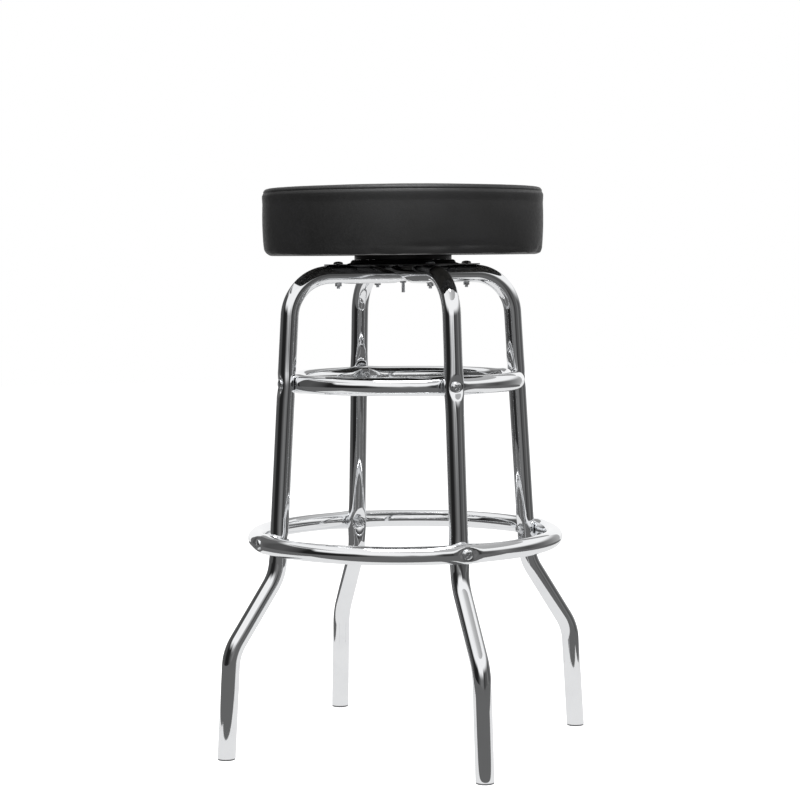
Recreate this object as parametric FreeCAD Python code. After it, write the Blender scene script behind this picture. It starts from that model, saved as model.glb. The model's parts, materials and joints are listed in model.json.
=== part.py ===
import FreeCAD, Part
import math
import os
from FreeCAD import Vector

# A bar-height swivel stool: two crossed tube hoops, two rings and a round padded seat on a ball swivel.
# Millimetres, Z up, origin on the floor under the middle of the seat, one hoop along X and one along Y.

# Tube of the hoops and the rings
tube_d = 25.4
tube_wall = 1.2
bar_bend_r = 60.0
kick_bend_r = 70.0

# Heights along a leg's centre line, floor upwards
foot_rise = 147.7
kick_rise = 104.7
ring_above_kick = 43.4
ring_spacing = 221.1
brace_to_bar = 149.9

# Spread of the legs
leg_splay = 3.56
kick_out = 68.0
bolt_to_bend = 12.6

# Pressed seats in the tubes
seat_depth = 4.5
seat_angle = 64.0
brace_press = 4.0
foot_press = 2.2
pad_angle = 50.0
press_margin = 1.0
shallow_depth = 1.5
shallow_angle = 60.0
crush_gap = 1.6
crush_ramp = 22.0

# Ring bolts and their flanged nuts
ring_bolt_d = 6.0
ring_head_d = 14.0
ring_head_h = 4.0
ring_nut_af = 10.0
ring_nut_h = 6.0
ring_flange_d = 13.4
ring_flange_h = 1.2
ring_bolt_end = 0.8

# Plate bolts, washers and nuts, and the crossing bolt of the same size
plate_bolt_d = 5.0
plate_head_d = 13.6
plate_head_h = 3.8
plate_nut_af = 8.0
plate_nut_h = 4.0
washer_d = 10.4
washer_t = 1.0
plate_bolt_end = 3.2
crossing_bolt_end = 13.0
hole_play = 0.5
thread_play = 0.1
recess_width = 1.4
recess_reach = 0.62
recess_depth = 0.55

# Floor glides
glide_t = 2.0
glide_inset = 0.6
glide_stem = 16.0
glide_play = 0.1

# Swivel: pressed plates, balls and cage
ball_d = 6.35
ball_count = 24
ball_pitch_r = 58.0
ball_play = 0.04
groove_depth = 0.5
plate_t = 1.8
dome_rise = 6.0
disc_land = 7.3
dome_lip = 4.0
dome_run = 8.5
bolt_room = 16.6
plate_edge = 20.4
plate_corner_r = 8.0
skirt_gap = 0.8
hub_inset = 18.0
hub_wall = 1.8
hub_play = 2.0
hub_gap = 0.8
hub_roll = 6.0
cage_half_width = 4.3
cage_t = 2.0
pocket_play = 0.4

# Seat screws
screw_d = 4.2
screw_head_d = 8.0
screw_head_h = 2.4
screw_bite = 9.0
screw_count = 4

# Seat
seat_d = 394.8
pad_rise = 86.5
side_draw = 1.6
rim_r = 7.0
crown = 3.2
corner_r = 12.0
cover_t = 1.0
board_t = 12.0
hem_width = 24.0

# Hem staples
staple_count = 28
staple_crown = 10.0
staple_wire = 0.9
staple_leg = 7.0

# Values worked out from the ones above
tube_r = tube_d / 2
bore_r = tube_r - tube_wall
splay_slope = math.tan(math.radians(leg_splay))
kick_low_z = foot_rise
kick_top_z = kick_low_z + kick_rise
foot_ring_z = kick_top_z + ring_above_kick
brace_ring_z = foot_ring_z + ring_spacing
bar_z = brace_ring_z + brace_to_bar
bar_top_z = bar_z + tube_r
bar_low_z = bar_z - tube_r

disc_r = ball_pitch_r + ball_d / 2 + disc_land
dome_top_r = disc_r + dome_lip
dome_base_r = dome_top_r + dome_run
plate_bolt_r = dome_base_r + bolt_room
plate_reach = plate_bolt_r + plate_edge
bar_half_run = plate_bolt_r + bolt_to_bend
bar_bend_run = bar_bend_r * math.tan(math.radians((90.0 - leg_splay) / 2))
hoop_half = bar_half_run + bar_bend_run


def leg_r(z):
    return hoop_half + splay_slope * (bar_z - z)


kick_top_r = leg_r(kick_top_z)
kick_low_r = kick_top_r + kick_out
foot_r = kick_low_r + splay_slope * foot_rise
brace_ring_r = leg_r(brace_ring_z) - tube_d + 2 * brace_press
foot_ring_r = leg_r(foot_ring_z) + tube_d - 2 * foot_press

dome_z = bar_top_z + plate_t + dome_rise
race_gap = ball_d + 2 * ball_play - 2 * groove_depth
ball_z = dome_z + race_gap / 2
disc_low_z = dome_z + race_gap
board_z = disc_low_z + plate_t
hub_r = ball_pitch_r - hub_inset
cage_in_r = ball_pitch_r - cage_half_width
screw_r = (hub_r + cage_in_r) / 2

seat_r = seat_d / 2
seam_r = seat_r - side_draw
board_r = seam_r - corner_r
under_z = board_z - cover_t
seam_z = board_z + pad_rise
hem_r = board_r - hem_width
staple_r = (board_r + hem_r) / 2
board_top_z = board_z + board_t

up = Vector(0, 0, 1)
down = Vector(0, 0, -1)
quarter_turns = [math.radians(90 * step) for step in range(4)]
far = 2 * (foot_r + bar_z)


# Small helpers

def around(radius, angle, z):
    return Vector(radius * math.cos(angle), radius * math.sin(angle), z)


def outward(angle):
    return Vector(math.cos(angle), math.sin(angle), 0)


def turned(shape, angle):
    copy = shape.copy()
    copy.rotate(Vector(0, 0, 0), up, math.degrees(angle))
    return copy


def bore(point, axis, length, diameter):
    return Part.makeCylinder(diameter / 2, length, point, axis)


def ring_slab(inner_r, outer_r, low_z, high_z):
    slab = Part.makeCylinder(outer_r, high_z - low_z, Vector(0, 0, low_z))
    return slab.cut(Part.makeCylinder(inner_r, high_z - low_z, Vector(0, 0, low_z)))


def slab_below(z):
    return Part.makeBox(2 * far, 2 * far, far, Vector(-far, -far, z - far))


def polygon(points):
    return Part.makePolygon(points + [points[0]])


def spun(edges):
    face = Part.Face(Part.Wire(edges))
    return face.revolve(Vector(0, 0, 0), up, 360)


def arc(start, middle, end):
    return Part.Arc(start, middle, end).toShape()


def line(start, end):
    return Part.LineSegment(start, end).toShape()


# Bent tube: straight runs joined by tangent arcs

def bent_path(corners, radii):
    edges = []
    start = corners[0]
    for index, radius in enumerate(radii):
        corner = corners[index + 1]
        back = (corners[index] - corner).normalize()
        ahead = (corners[index + 2] - corner).normalize()
        half_angle = back.getAngle(ahead) / 2
        run = radius / math.tan(half_angle)
        inward = (back + ahead).normalize()
        centre = corner + inward * (radius / math.sin(half_angle))
        arc_start = corner + back * run
        arc_end = corner + ahead * run
        edges.append(line(start, arc_start))
        edges.append(arc(arc_start, centre - inward * radius, arc_end))
        start = arc_end
    edges.append(line(start, corners[-1]))
    return Part.Wire(edges)


def rod(path, radius):
    first = path.Edges[0]
    start = first.valueAt(first.FirstParameter)
    heading = first.tangentAt(first.FirstParameter)
    section = Part.Face(Part.Wire(Part.makeCircle(radius, start, heading)))
    return path.makePipe(section)


def hoop_path():
    below = foot_r + splay_slope * tube_d
    right = [
        Vector(below, 0, -tube_d),
        Vector(kick_low_r, 0, kick_low_z),
        Vector(kick_top_r, 0, kick_top_z),
        Vector(hoop_half, 0, bar_z),
    ]
    left = [Vector(-point.x, 0, point.z) for point in reversed(right)]
    right_radii = [kick_bend_r, kick_bend_r, bar_bend_r]
    return bent_path(right + left, right_radii + right_radii[::-1])


# Pressed seats: a flat floor with sloping sides, cut into the tube and followed by its bore

def press_cone(floor, axis, floor_r, angle):
    spread = tube_d * math.tan(math.radians(angle))
    return Part.makeCone(floor_r, floor_r + spread, tube_d, floor, axis)


def press_cones(presses, sink):
    return [press_cone(floor - axis * sink, axis, floor_r, angle)
            for floor, axis, floor_r, angle in presses]


def hollow_tube(tube, core, outer_cuts, inner_cuts, holes):
    return tube.cut(outer_cuts).cut([core.cut(inner_cuts)] + holes)


def pad_r(depth):
    return math.sqrt(2 * (tube_r ** 2 - (tube_r - depth) ** 2)) + press_margin


def head_floor_r(diameter):
    return diameter / 2 + press_margin


def crush_wedge(side, shift):
    half = tube_r + crush_gap
    floor_z = bar_z + side * shift
    rise = side * (tube_r + tube_wall)
    ramp = crush_ramp * (tube_r + tube_wall) / tube_r
    outline = polygon([
        Vector(-half - ramp, -tube_d, floor_z + rise),
        Vector(-half, -tube_d, floor_z),
        Vector(half, -tube_d, floor_z),
        Vector(half + ramp, -tube_d, floor_z + rise),
    ])
    return Part.Face(outline).extrude(Vector(0, 2 * tube_d, 0))


# Leg hoops: two legs and the bar between them, from one tube

def leg_presses():
    ring_floor = head_floor_r(max(ring_head_d, ring_flange_d))
    brace_leg_r = leg_r(brace_ring_z)
    foot_leg_r = leg_r(foot_ring_z)
    presses = []
    for angle in quarter_turns[::2]:
        away = outward(angle)
        head = around(brace_leg_r + tube_r - seat_depth, angle, brace_ring_z)
        brace_pad = around(brace_leg_r - tube_r + brace_press, angle, brace_ring_z)
        nut_seat = around(foot_leg_r - tube_r + seat_depth, angle, foot_ring_z)
        foot_pad = around(foot_leg_r + tube_r - foot_press, angle, foot_ring_z)
        plate_nut = around(plate_bolt_r, angle, bar_low_z + shallow_depth)
        presses += [
            (head, away, ring_floor, seat_angle),
            (brace_pad, -away, pad_r(brace_press), pad_angle),
            (nut_seat, -away, ring_floor, seat_angle),
            (foot_pad, away, pad_r(foot_press), pad_angle),
            (plate_nut, down, washer_d / 2, shallow_angle),
        ]
    return presses


def hoop_holes():
    ring_hole = ring_bolt_d + hole_play
    plate_hole = plate_bolt_d + hole_play
    middle = Vector(0, 0, bar_z - tube_d)
    holes = [bore(middle, up, 2 * tube_d, plate_hole)]
    for angle in quarter_turns[::2]:
        for ring_z in (brace_ring_z, foot_ring_z):
            start = around(leg_r(ring_z) - tube_d, angle, ring_z)
            holes.append(bore(start, outward(angle), 2 * tube_d, ring_hole))
        start = around(plate_bolt_r, angle, bar_z - tube_d)
        holes.append(bore(start, up, 2 * tube_d, plate_hole))
    return holes


def leg_hoop(crush_side, crossing_depth, crossing_floor_r):
    path = hoop_path()
    axis = up * -crush_side
    floor = Vector(0, 0, bar_z) + axis * (tube_r - crossing_depth)
    presses = leg_presses() + [(floor, axis, crossing_floor_r, shallow_angle)]
    outer_cuts = press_cones(presses, 0) + [crush_wedge(crush_side, 0)]
    inner_cuts = press_cones(presses, tube_wall) + [crush_wedge(crush_side, -tube_wall)]
    openings = hoop_holes() + [slab_below(glide_t)]
    return hollow_tube(rod(path, tube_r), rod(path, bore_r), outer_cuts, inner_cuts, openings)


# Rings, bolted to the legs through pressed seats

def bolted_ring(ring_r, ring_z, legs_outside, pad_depth):
    centre = Vector(0, 0, ring_z)
    tube = Part.makeTorus(ring_r, tube_r, centre, up)
    core = Part.makeTorus(ring_r, bore_r, centre, up)
    leg_side = 1 if legs_outside else -1
    seat_floor = head_floor_r(max(ring_head_d, ring_flange_d))
    presses = []
    holes = []
    for angle in quarter_turns:
        leg_way = outward(angle) * leg_side
        middle = around(ring_r, angle, ring_z)
        pad = middle + leg_way * (tube_r - pad_depth)
        seat = middle - leg_way * (tube_r - seat_depth)
        presses.append((pad, leg_way, pad_r(pad_depth), pad_angle))
        presses.append((seat, -leg_way, seat_floor, seat_angle))
        start = middle - leg_way * tube_d
        holes.append(bore(start, leg_way, 2 * tube_d, ring_bolt_d + hole_play))
    return hollow_tube(tube, core, press_cones(presses, 0), press_cones(presses, tube_wall), holes)


# Fasteners, each made upright at the origin with its seat at Z = 0, then placed along its axis

def placed(shape, point, axis):
    copy = shape.copy()
    copy.Placement = FreeCAD.Placement(point, FreeCAD.Rotation(up, axis))
    return copy


def pan_head(diameter, height):
    radius = diameter / 2
    edge_h = height / 3
    top = Vector(0, 0, height)
    rim = Vector(radius, 0, edge_h)
    turn = math.radians(45)
    bulge = Vector(radius * math.sin(turn), 0, edge_h + (height - edge_h) * math.cos(turn))
    head = spun([
        line(Vector(0, 0, 0), Vector(radius, 0, 0)),
        line(Vector(radius, 0, 0), rim),
        arc(rim, bulge, top),
        line(top, Vector(0, 0, 0)),
    ])
    reach = diameter * recess_reach
    for size in ((reach, recess_width), (recess_width, reach)):
        corner = Vector(-size[0] / 2, -size[1] / 2, height * (1 - recess_depth))
        head = head.cut(Part.makeBox(size[0], size[1], height, corner))
    return head


def bolt(diameter, length, head_d, head_h):
    shank = bore(Vector(0, 0, -length), up, length, diameter)
    return pan_head(head_d, head_h).fuse(shank).removeSplitter()


def hex_prism(across_flats, height):
    point_r = across_flats / math.sqrt(3)
    corners = [around(point_r, math.radians(60 * step), 0) for step in range(6)]
    return Part.Face(polygon(corners)).extrude(Vector(0, 0, height))


def nut(across_flats, height, bolt_d):
    body = hex_prism(across_flats, height)
    return body.cut(bore(Vector(0, 0, 0), up, height, bolt_d + thread_play))


def flanged_nut():
    body = hex_prism(ring_nut_af, ring_nut_h)
    body = body.fuse(bore(Vector(0, 0, 0), up, ring_flange_h, ring_flange_d)).removeSplitter()
    return body.cut(bore(Vector(0, 0, 0), up, ring_nut_h, ring_bolt_d + thread_play))


def ring_fasteners(ring_z, head_seat_r, nut_seat_r):
    length = head_seat_r - nut_seat_r + ring_nut_h + ring_bolt_end
    ring_bolt = bolt(ring_bolt_d, length, ring_head_d, ring_head_h)
    ring_nut = flanged_nut()
    bolts = []
    nuts = []
    for angle in quarter_turns:
        away = outward(angle)
        bolts.append(placed(ring_bolt, around(head_seat_r, angle, ring_z), away))
        nuts.append(placed(ring_nut, around(nut_seat_r, angle, ring_z), -away))
    return Part.makeCompound(bolts), Part.makeCompound(nuts)


def plate_fasteners():
    seat_z = bar_top_z + plate_t
    washer_z = bar_low_z + shallow_depth
    nut_z = washer_z - washer_t
    length = seat_z - nut_z + plate_nut_h + plate_bolt_end
    plate_bolt = bolt(plate_bolt_d, length, plate_head_d, plate_head_h)
    plate_nut = nut(plate_nut_af, plate_nut_h, plate_bolt_d)
    washer = bore(Vector(0, 0, 0), up, washer_t, washer_d)
    washer = washer.cut(bore(Vector(0, 0, 0), up, washer_t, plate_bolt_d + hole_play))
    bolts = []
    washers = []
    nuts = []
    for angle in quarter_turns:
        bolts.append(placed(plate_bolt, around(plate_bolt_r, angle, seat_z), up))
        washers.append(placed(washer, around(plate_bolt_r, angle, washer_z), down))
        nuts.append(placed(plate_nut, around(plate_bolt_r, angle, nut_z), down))
    return Part.makeCompound(bolts), Part.makeCompound(washers), Part.makeCompound(nuts)


def crossing_fasteners():
    head_z = bar_top_z - shallow_depth
    nut_z = bar_low_z + seat_depth
    length = head_z - bar_low_z + crossing_bolt_end
    crossing_bolt = bolt(plate_bolt_d, length, plate_head_d, plate_head_h)
    crossing_nut = nut(plate_nut_af, plate_nut_h, plate_bolt_d)
    return (placed(crossing_bolt, Vector(0, 0, head_z), up),
            placed(crossing_nut, Vector(0, 0, nut_z), down))


# Floor glides: a flange under the tube end and a stem inside it

def floor_glide(angle):
    heading = Vector(-splay_slope, 0, 1)
    length = 2 * glide_stem
    start = Vector(foot_r, 0, 0) - heading * glide_stem
    flange = Part.makeCylinder(tube_r - glide_inset, 2 * length, start, heading)
    stem = Part.makeCylinder(bore_r - glide_play, 2 * length, start, heading)
    flange = flange.cut(slab_below(0))
    flange = flange.common(slab_below(glide_t))
    stem = stem.cut(slab_below(glide_t)).common(slab_below(glide_t + glide_stem))
    return turned(flange.fuse(stem).removeSplitter(), angle)


# Swivel: a domed square plate below, a skirted pan above, balls and their cage between

def race_groove():
    return Part.makeTorus(ball_pitch_r, ball_d / 2 + ball_play, Vector(0, 0, ball_z), up)


def square_plate():
    side = math.sqrt(2) * (plate_reach + plate_corner_r * (math.sqrt(2) - 1))
    plate = Part.makeBox(side, side, plate_t, Vector(-side / 2, -side / 2, bar_top_z))
    upright = [edge for edge in plate.Edges if abs(edge.tangentAt(edge.FirstParameter).z) > 0.5]
    return turned(plate.makeFillet(plate_corner_r, upright), math.radians(45))


def dome_solid(drop):
    base_z = bar_top_z + plate_t - drop
    base_r = dome_base_r - drop
    return Part.makeCone(base_r, dome_top_r - drop, dome_rise, Vector(0, 0, base_z))


def lower_swivel_plate():
    hub_hole_r = hub_r + hub_play
    plate = square_plate().fuse(dome_solid(0)).removeSplitter()
    plate = plate.cut(dome_solid(plate_t))
    plate = plate.cut(Part.makeCylinder(hub_hole_r, far, Vector(0, 0, 0)))
    plate = plate.cut(race_groove())
    for angle in quarter_turns:
        start = around(plate_bolt_r, angle, bar_z)
        plate = plate.cut(bore(start, up, tube_d, plate_bolt_d + hole_play))
    return plate


def screw_places():
    step = 2 * math.pi / screw_count
    return [around(screw_r, step * (index + 0.5), disc_low_z) for index in range(screw_count)]


def upper_swivel_plate():
    roll_top_z = dome_z - plate_t - hub_gap
    roll_low_z = roll_top_z - hub_wall
    pan = ring_slab(hub_r - hub_wall, disc_r, disc_low_z, board_z)
    skirt = ring_slab(disc_r - plate_t, disc_r, dome_z + skirt_gap, board_z)
    neck = ring_slab(hub_r - hub_wall, hub_r, roll_low_z, board_z)
    roll = ring_slab(hub_r - hub_wall, hub_r + hub_roll, roll_low_z, roll_top_z)
    pan = pan.fuse([skirt, neck, roll]).removeSplitter()
    pan = pan.cut(race_groove())
    for place in screw_places():
        pan = pan.cut(bore(place, up, plate_t, screw_d + hole_play))
    return pan


def ball_places():
    step = 2 * math.pi / ball_count
    return [around(ball_pitch_r, step * index, ball_z) for index in range(ball_count)]


def bearing_balls():
    return Part.makeCompound([Part.makeSphere(ball_d / 2, place) for place in ball_places()])


def ball_cage():
    low_z = ball_z - cage_t / 2
    cage = ring_slab(cage_in_r, ball_pitch_r + cage_half_width, low_z, low_z + cage_t)
    pockets = []
    for place in ball_places():
        start = Vector(place.x, place.y, low_z)
        pockets.append(bore(start, up, cage_t, ball_d + pocket_play))
    return cage.cut(Part.makeCompound(pockets))


def seat_screws():
    screw_length = plate_t + screw_bite
    screw = bolt(screw_d, screw_length, screw_head_d, screw_head_h)
    return Part.makeCompound([placed(screw, place, down) for place in screw_places()])


# Seat: a board, foam that wraps its edge, and a sewn cover that is turned under and stapled

def cushion(inset):
    corner_z = under_z + corner_r
    rim_in_r = seam_r - rim_r
    rim_z = seam_z + rim_r - inset
    dish_r = (rim_in_r ** 2 + crown ** 2) / (2 * crown)
    dish_z = rim_z + crown - dish_r
    half = rim_in_r / 2
    turn = math.radians(45)
    under_mid = Vector(0, 0, under_z + inset)
    board_edge = Vector(board_r, 0, under_z + inset)
    corner_mid = Vector(board_r + (corner_r - inset) * math.sin(turn), 0,
                        corner_z - (corner_r - inset) * math.cos(turn))
    side_low = Vector(seam_r - inset, 0, corner_z)
    side_mid = Vector(seat_r - inset, 0, (corner_z + seam_z) / 2)
    seam = Vector(seam_r - inset, 0, seam_z)
    rim_mid = Vector(rim_in_r + (rim_r - inset) * math.cos(turn), 0,
                     seam_z + (rim_r - inset) * math.sin(turn))
    rim_in = Vector(rim_in_r, 0, rim_z)
    crown_mid = Vector(half, 0, dish_z + math.sqrt(dish_r ** 2 - half ** 2))
    top = Vector(0, 0, rim_z + crown)
    return spun([
        line(under_mid, board_edge),
        arc(board_edge, corner_mid, side_low),
        arc(side_low, side_mid, seam),
        arc(seam, rim_mid, rim_in),
        arc(rim_in, crown_mid, top),
        line(top, under_mid),
    ])


def hem_staples():
    crown_box = Part.makeBox(staple_wire, staple_crown, staple_wire,
                             Vector(-staple_wire / 2, -staple_crown / 2, -staple_wire))
    staple = crown_box
    for end in (-staple_crown / 2, staple_crown / 2 - staple_wire):
        leg = Part.makeBox(staple_wire, staple_wire, staple_leg, Vector(-staple_wire / 2, end, 0))
        staple = staple.fuse(leg)
    staple = staple.removeSplitter()
    staple.translate(Vector(staple_r, 0, under_z + staple_wire))
    step = 2 * math.pi / staple_count
    return Part.makeCompound([turned(staple, step * index) for index in range(staple_count)])


def seat_pieces():
    screws = seat_screws()
    staples = hem_staples()
    inside = cushion(cover_t)
    board = Part.makeCylinder(board_r, board_t, Vector(0, 0, board_z))
    cover = cushion(0).cut(inside)
    lower_half = slab_below(seam_z)
    band = cover.common(lower_half)
    band = band.cut(Part.makeCylinder(hem_r, cover_t, Vector(0, 0, under_z)))
    return {
        "seat_screws": screws,
        "hem_staples": staples,
        "seat_board": board.cut(screws).cut(staples),
        "seat_foam": inside.cut(board),
        "cover_top_panel": cover.cut(lower_half),
        "cover_side_band": band.cut(staples),
    }


# The whole stool, one shape for each node

def stool():
    nut_floor = plate_nut_af / math.sqrt(3) + press_margin
    head_floor = plate_head_d / 2
    brace_bolts, brace_nuts = ring_fasteners(
        brace_ring_z, leg_r(brace_ring_z) + tube_r - seat_depth, brace_ring_r - tube_r + seat_depth)
    foot_bolts, foot_nuts = ring_fasteners(
        foot_ring_z, foot_ring_r + tube_r - seat_depth, leg_r(foot_ring_z) - tube_r + seat_depth)
    plate_bolts, plate_washers, plate_nuts = plate_fasteners()
    crossing_bolt, crossing_nut = crossing_fasteners()
    nodes = {
        "leg_hoop_under": leg_hoop(1, seat_depth, nut_floor),
        "leg_hoop_over": turned(leg_hoop(-1, shallow_depth, head_floor), quarter_turns[1]),
        "brace_ring": bolted_ring(brace_ring_r, brace_ring_z, True, brace_press),
        "foot_ring": bolted_ring(foot_ring_r, foot_ring_z, False, foot_press),
        "brace_ring_bolts": brace_bolts,
        "brace_ring_nuts": brace_nuts,
        "foot_ring_bolts": foot_bolts,
        "foot_ring_nuts": foot_nuts,
        "crossing_bolt": crossing_bolt,
        "crossing_nut": crossing_nut,
        "lower_swivel_plate": lower_swivel_plate(),
        "plate_bolts": plate_bolts,
        "plate_washers": plate_washers,
        "plate_nuts": plate_nuts,
        "upper_swivel_plate": upper_swivel_plate(),
        "bearing_balls": bearing_balls(),
        "ball_cage": ball_cage(),
    }
    for side, angle in zip(("right", "back", "left", "front"), quarter_turns):
        nodes["floor_glide_" + side] = floor_glide(angle)
    nodes.update(seat_pieces())
    return nodes


os.makedirs("parts", exist_ok=True)
for name, shape in stool().items():
    print(name, len(shape.Solids), "solids", round(shape.Volume), "mm3", "valid", shape.isValid())
    shape.exportStep("parts/" + name + ".step")
print("seat height", round(seam_z + rim_r + crown, 1), "foot radius", round(foot_r, 1))
print("rings", round(brace_ring_r, 1), round(foot_ring_r, 1), "bar", round(bar_z, 1))
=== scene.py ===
import bpy
import json
import math
import random
from mathutils import Matrix, Vector, kdtree, noise


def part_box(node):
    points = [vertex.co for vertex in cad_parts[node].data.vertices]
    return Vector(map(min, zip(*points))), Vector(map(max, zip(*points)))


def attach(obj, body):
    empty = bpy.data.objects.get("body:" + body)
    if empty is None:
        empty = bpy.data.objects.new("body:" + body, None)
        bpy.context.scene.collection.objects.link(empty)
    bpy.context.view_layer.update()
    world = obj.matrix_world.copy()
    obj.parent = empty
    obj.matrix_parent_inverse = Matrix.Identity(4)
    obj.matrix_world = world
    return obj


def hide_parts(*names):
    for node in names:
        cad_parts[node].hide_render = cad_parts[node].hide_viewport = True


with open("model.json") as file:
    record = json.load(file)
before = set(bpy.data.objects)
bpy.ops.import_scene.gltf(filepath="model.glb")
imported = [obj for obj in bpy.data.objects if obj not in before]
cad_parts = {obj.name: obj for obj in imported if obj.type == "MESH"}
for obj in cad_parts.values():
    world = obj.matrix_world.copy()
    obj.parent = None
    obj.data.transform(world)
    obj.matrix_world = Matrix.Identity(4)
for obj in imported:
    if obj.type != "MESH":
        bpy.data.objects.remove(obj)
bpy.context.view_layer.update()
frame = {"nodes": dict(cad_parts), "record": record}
nodes = frame["nodes"]

upAxis = Vector((0, 0, 1))
quarterTurns = [math.radians(90 * step) for step in range(4)]
roundSides = 48
sharpAngle = math.radians(50)
wavePerMetre = math.pi / 10  # a wave texture of this scale has one band in a metre


def mm(value):
    return value / 1000


def toLinear(hexColour):
    channels = [int(hexColour[at:at + 2], 16) / 255 for at in (1, 3, 5)]
    linear = [c / 12.92 if c <= 0.04045 else ((c + 0.055) / 1.055) ** 2.4 for c in channels]
    return (*linear, 1)


def perSize(sizeMm):  # texture scale that gives one cell or blob of that many millimetres
    return 1000 / sizeMm


# Hand tools: selecting, edit mode and modifiers

def clearSelection():
    if bpy.context.mode != "OBJECT":
        bpy.ops.object.mode_set(mode="OBJECT")
    bpy.ops.object.select_all(action="DESELECT")


def makeActive(piece):
    clearSelection()
    piece.select_set(True)
    bpy.context.view_layer.objects.active = piece


def named(name):
    piece = bpy.context.active_object
    piece.name = name
    piece.data.name = name
    return piece


def pick(piece, kind, test):  # opens edit mode with the matching verts, edges or faces selected
    makeActive(piece)
    bpy.ops.object.mode_set(mode="EDIT")
    bpy.ops.mesh.select_mode(type=kind)
    bpy.ops.mesh.select_all(action="DESELECT")
    bpy.ops.object.mode_set(mode="OBJECT")
    items = {"VERT": piece.data.vertices, "EDGE": piece.data.edges, "FACE": piece.data.polygons}[kind]
    for item in items:
        item.select = test(item)
    bpy.ops.object.mode_set(mode="EDIT")


def applyModifier(piece, kind, **settings):
    makeActive(piece)
    modifier = piece.modifiers.new(kind.title(), kind)
    for setting, value in settings.items():
        setattr(modifier, setting, value)
    bpy.ops.object.modifier_apply(modifier=modifier.name)


def tidyNormals(piece, gap=mm(0.02)):
    pick(piece, "VERT", lambda vertex: True)
    bpy.ops.mesh.remove_doubles(threshold=gap)
    bpy.ops.mesh.normals_make_consistent(inside=False)
    clearSelection()


def smooth(piece, degrees=35):
    makeActive(piece)
    bpy.ops.object.shade_smooth_by_angle(angle=math.radians(degrees))


def settle(piece, body, slotName, material, *replaced):
    makeActive(piece)
    bpy.ops.object.transform_apply(location=True, rotation=True, scale=True)
    piece.data.materials.clear()
    piece.data.materials.append(material)
    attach(piece, body)
    if replaced:
        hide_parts(*replaced)


def lathe(name, points, steps):  # turns a half section, given as radius and height, round the upright axis
    clearSelection()
    bpy.ops.mesh.primitive_plane_add(size=mm(1))
    piece = named(name)
    bpy.ops.object.mode_set(mode="EDIT")
    bpy.ops.mesh.select_mode(type="VERT")
    bpy.ops.mesh.merge(type="CENTER")
    bpy.ops.transform.translate(value=(points[0][0], 0, points[0][1]))
    for (r0, z0), (r1, z1) in zip(points, points[1:]):
        bpy.ops.mesh.extrude_region_move(TRANSFORM_OT_translate={"value": (r1 - r0, 0, z1 - z0)})
    bpy.ops.mesh.select_all(action="SELECT")
    bpy.ops.mesh.spin(steps=steps, angle=2 * math.pi, center=(0, 0, 0), axis=(0, 0, 1))
    tidyNormals(piece)
    return piece


def combine(piece, other, operation):
    applyModifier(piece, "BOOLEAN", operation=operation, object=other, solver="EXACT")
    bpy.data.objects.remove(other)


def softenEdges(piece, width):
    applyModifier(piece, "BEVEL", width=width, segments=2, limit_method="ANGLE", angle_limit=sharpAngle)


def peg(name, radius, low, high, sides=roundSides):  # a plain upright cylinder, used to cut others
    clearSelection()
    bpy.ops.mesh.primitive_cylinder_add(
        vertices=sides, radius=radius, depth=high - low, location=(0, 0, (low + high) / 2))
    piece = named(name)
    bpy.ops.object.transform_apply(location=True)
    return piece


def block(name, size, place, turn=0.0):
    clearSelection()
    bpy.ops.mesh.primitive_cube_add(size=1, location=place, rotation=(0, 0, turn))
    piece = named(name)
    piece.scale = size
    bpy.ops.object.transform_apply(location=True, rotation=True, scale=True)
    return piece


def turnedCopy(piece, name, angle):
    makeActive(piece)
    bpy.ops.object.duplicate(linked=False)
    copy = named(name)
    copy.rotation_euler = (0, 0, angle)
    bpy.ops.object.transform_apply(location=True, rotation=True, scale=True)
    return copy


def wayOut(angle):  # the level direction at an angle round the upright axis
    return Vector((math.cos(angle), math.sin(angle), 0))


def softMin(first, second, rounding):
    near = max(rounding - abs(first - second), 0) / rounding
    return min(first, second) - near * near * rounding / 4


def easeStep(value, start, end):
    share = min(max((value - start) / (end - start), 0), 1)
    return share * share * (3 - 2 * share)


def spread(start, end, first, last, steps):  # values from start to end, finer towards the first or last
    total = 0
    marks = [0.0]
    for step in range(steps):
        total += first + (last - first) * step / max(steps - 1, 1)
        marks.append(total)
    return [start + (end - start) * mark / total for mark in marks]


def arcPoints(centre, radius, start, end, steps):  # an arc of a half section, in degrees from level
    turns = [math.radians(start + (end - start) * step / steps) for step in range(steps + 1)]
    return [(centre[0] + radius * math.cos(turn), centre[1] + radius * math.sin(turn)) for turn in turns]


# Materials

def newMaterial(name):
    material = bpy.data.materials.new(name)
    material.use_nodes = True
    tree = material.node_tree
    return material, tree, tree.nodes["Principled BSDF"]


colourMix = {"share": 0, "first": 6, "second": 7, "result": 2}  # socket numbers of a colour mix


def addNode(tree, kind, inputs=None, **settings):
    node = tree.nodes.new(kind)
    for setting, value in settings.items():
        setattr(node, setting, value)
    for socket, value in (inputs or {}).items():
        if isinstance(value, bpy.types.NodeSocket):
            tree.links.new(value, node.inputs[socket])
        else:
            node.inputs[socket].default_value = value
    return node


def fillRamp(ramp, stops):  # stops are places from 0 to 1, each with its colour
    for count, (place, colour) in enumerate(stops):
        element = ramp.elements[count] if count < 2 else ramp.elements.new(place)
        element.position = place
        element.color = colour


def coat(tree, shader, colour, roughness, normal):
    tree.links.new(colour, shader.inputs["Base Color"])
    tree.links.new(roughness, shader.inputs["Roughness"])
    tree.links.new(normal, shader.inputs["Normal"])


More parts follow.
